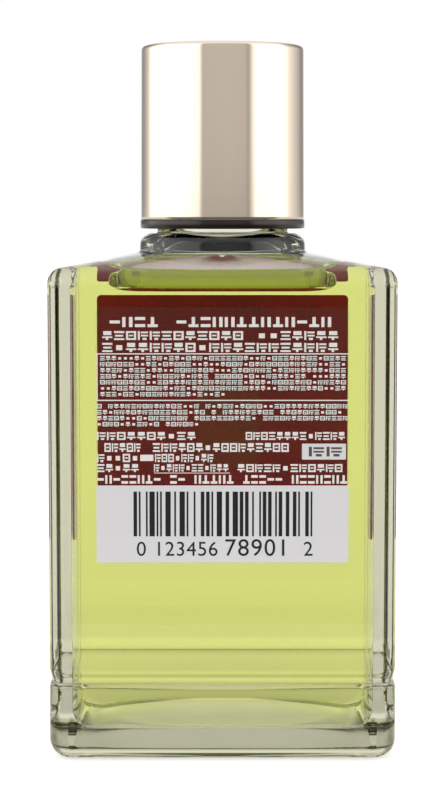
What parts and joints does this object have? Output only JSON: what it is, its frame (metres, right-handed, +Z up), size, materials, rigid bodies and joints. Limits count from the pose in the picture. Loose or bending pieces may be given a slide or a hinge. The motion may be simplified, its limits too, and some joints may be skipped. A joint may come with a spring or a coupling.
{
  "type": "aftershave bottle",
  "caption": "Square-shouldered clear glass bottle of yellow lotion with a round pedestal, a pour plug and a tall screw cap in a metal-finish shell.",
  "frame": {"origin": "middle of the plane that the bottle stands on", "axes": "+Z up along the neck and cap, +Y out of the face with the front label, +X across the flask's width"},
  "size_m": [0.0616, 0.0442, 0.127],
  "materials": {
    "flask_glass": "polished",
    "lotion": "gloss",
    "plug_plastic": "satin",
    "seal_foam": "matte",
    "inner_cap_plastic": "gloss",
    "shell_metal": "polished",
    "front_label": "satin",
    "label_film": "gloss"
  },
  "bodies": {
    "bottle": {"bottle_glass": "flask_glass", "lotion": "lotion", "pour_plug": "plug_plastic", "front_label": "front_label", "back_label_film": "label_film"},
    "seal": {"cap_seal_disc": "seal_foam"},
    "cap": {"cap_inner": "inner_cap_plastic", "cap_shell": "shell_metal"}
  },
  "joints": [
    {"name": "cap_rise", "type": "slide", "parent": "bottle", "child": "seal", "axis": [0, 0, 1], "range_m": [0, 0.01429]},
    {"name": "cap_turn", "type": "hinge", "parent": "seal", "child": "cap", "pos_m": [0, 0, 0.1084], "axis": [0, 0, 1], "range_deg": [0, 1620]}
  ],
  "couplings": [
    {"joint": "cap_rise", "follows": "cap_turn", "m_per_rad": 0.00050532}
  ]
}
